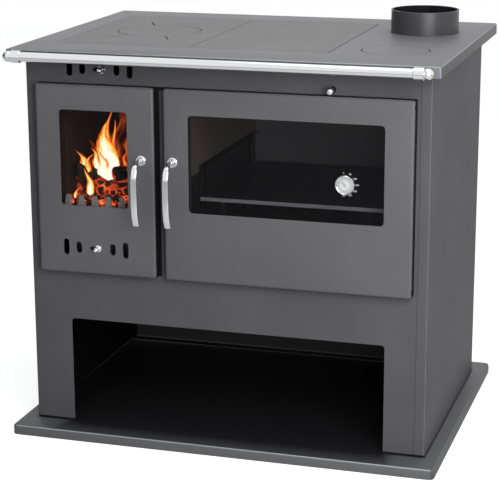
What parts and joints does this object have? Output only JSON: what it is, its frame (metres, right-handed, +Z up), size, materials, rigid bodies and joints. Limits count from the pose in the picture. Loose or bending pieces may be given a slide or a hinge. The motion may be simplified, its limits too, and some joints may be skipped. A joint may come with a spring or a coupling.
{
  "type": "wood cookstove",
  "caption": "Free-standing wood-burning cookstove with a firebox, a glazed oven, a flat hob with a round lid, a towel rail, a flue collar and an open wood store below.",
  "frame": {"origin": "middle of the base plate's underside, on the floor", "axes": "+X to the right seen from the front, -Y out of the front towards the cook, +Z up"},
  "size_m": [0.94, 0.7288, 0.9],
  "materials": {
    "body_paint": "matt powder coat, dark warm grey",
    "door_paint": "matt powder coat, dark grey",
    "worktop_paint": "matt heat-proof coat, grey",
    "cast_iron": "ground and heat-proof painted casting",
    "chrome": "polished chrome plate",
    "dark_steel": "heat-blackened sheet steel",
    "bare_steel": "bare brushed steel",
    "firebrick": "rough fired clay",
    "rope_seal": "woven glass rope, dark",
    "door_glass": "clear heat-proof ceramic glass, faintly tinted",
    "needle": "black pointer"
  },
  "bodies": {
    "stove": {"base_plate": "body_paint", "side_panel_left": "body_paint", "side_panel_right": "body_paint", "front_panel": "body_paint", "back_panel": "body_paint", "top_plate": "worktop_paint", "flue_collar": "worktop_paint", "hob_support": "dark_steel", "inner_floor": "dark_steel", "inner_stand": "dark_steel", "firebox_shell": "dark_steel", "oven_box": "dark_steel", "oven_rack_left": "dark_steel", "oven_rack_right": "dark_steel", "smoke_baffle": "dark_steel", "grate": "cast_iron", "log_guard": "cast_iron", "firebrick_left": "firebrick", "firebrick_right": "firebrick", "firebrick_back": "firebrick", "rail_tube": "chrome", "rail_bracket_left": "chrome", "rail_bracket_right": "chrome", "rail_finial_left": "chrome", "rail_finial_right": "chrome", "fire_door_hinge_bracket": "bare_steel", "oven_door_hinge_bracket": "bare_steel"},
    "fire_door": {"fire_door_shell": "door_paint", "fire_door_liner": "dark_steel", "fire_door_glass": "door_glass", "fire_door_glass_frame": "bare_steel", "fire_door_seal": "rope_seal", "fire_door_hinge_rod": "bare_steel", "fire_door_rosette": "chrome"},
    "oven_door": {"oven_door_shell": "door_paint", "oven_door_liner": "dark_steel", "oven_door_glass": "door_glass", "oven_door_glass_frame": "bare_steel", "oven_door_seal": "rope_seal", "oven_door_hinge_rod": "bare_steel", "oven_door_rosette": "chrome", "thermometer_body": "bare_steel"},
    "fire_door_lever": {"fire_door_handle": "chrome", "fire_door_latch": "bare_steel"},
    "oven_door_lever": {"oven_door_handle": "chrome", "oven_door_latch": "bare_steel"},
    "lower_air": {"lower_air_slide": "dark_steel", "lower_air_knob": "chrome"},
    "upper_air": {"upper_air_slide": "dark_steel", "upper_air_knob": "chrome"},
    "damper": {"damper_plate": "cast_iron", "damper_rod": "bare_steel", "damper_knob": "chrome"},
    "drawer": {"ash_drawer": "bare_steel"},
    "shelf": {"oven_shelf": "bare_steel"},
    "pointer": {"thermometer_needle": "needle"},
    "left_hot_plate": {"hot_plate_left": "cast_iron"},
    "round_lid": {"hot_plate_lid": "cast_iron"},
    "right_hot_plate": {"hot_plate_right": "cast_iron"},
    "soot_lid": {"soot_cover": "worktop_paint"}
  },
  "joints": [
    {"name": "fire_door_hinge", "type": "hinge", "parent": "stove", "child": "fire_door", "pos_m": [-0.398, -0.306, 0.573], "axis": [0, 0, -1], "range_deg": [0, 100]},
    {"name": "oven_door_hinge", "type": "hinge", "parent": "stove", "child": "oven_door", "pos_m": [0.398, -0.306, 0.573], "axis": [0, 0, 1], "range_deg": [0, 100]},
    {"name": "fire_door_lever_turn", "type": "hinge", "parent": "fire_door", "child": "fire_door_lever", "pos_m": [-0.171, -0.315, 0.624], "axis": [0, 1, 0], "range_deg": [0, 60]},
    {"name": "oven_door_lever_turn", "type": "hinge", "parent": "oven_door", "child": "oven_door_lever", "pos_m": [-0.1015, -0.315, 0.624], "axis": [0, -1, 0], "range_deg": [0, 60]},
    {"name": "lower_air_slide", "type": "slide", "parent": "fire_door", "child": "lower_air", "axis": [-1, 0, 0], "range_m": [0, 0.0145]},
    {"name": "upper_air_slide", "type": "slide", "parent": "stove", "child": "upper_air", "axis": [-1, 0, 0], "range_m": [0, 0.0145]},
    {"name": "damper_slide", "type": "slide", "parent": "stove", "child": "damper", "axis": [0, -1, 0], "range_m": [0, 0.08]},
    {"name": "ash_drawer_slide", "type": "slide", "parent": "stove", "child": "drawer", "axis": [0, -1, 0], "range_m": [0, 0.17]},
    {"name": "oven_shelf_slide", "type": "slide", "parent": "stove", "child": "shelf", "axis": [0, -1, 0], "range_m": [0, 0.17]},
    {"name": "thermometer_needle_turn", "type": "hinge", "parent": "oven_door", "child": "pointer", "pos_m": [0.267, -0.3185, 0.5995], "axis": [0, 1, 0], "range_deg": [0, 270]},
    {"name": "hot_plate_left_lift", "type": "slide", "parent": "stove", "child": "left_hot_plate", "axis": [0, 0, 1], "range_m": [0, 0.1]},
    {"name": "hot_plate_lid_lift", "type": "slide", "parent": "left_hot_plate", "child": "round_lid", "axis": [0, 0, 1], "range_m": [0, 0.1]},
    {"name": "hot_plate_right_lift", "type": "slide", "parent": "stove", "child": "right_hot_plate", "axis": [0, 0, 1], "range_m": [0, 0.1]},
    {"name": "soot_cover_lift", "type": "slide", "parent": "stove", "child": "soot_lid", "axis": [0, 0, 1], "range_m": [0, 0.1]}
  ],
  "couplings": [
    {"joint": "ash_drawer_slide", "follows": "fire_door_hinge", "m_per_rad": 0.095},
    {"joint": "oven_shelf_slide", "follows": "oven_door_hinge", "m_per_rad": 0.095}
  ]
}
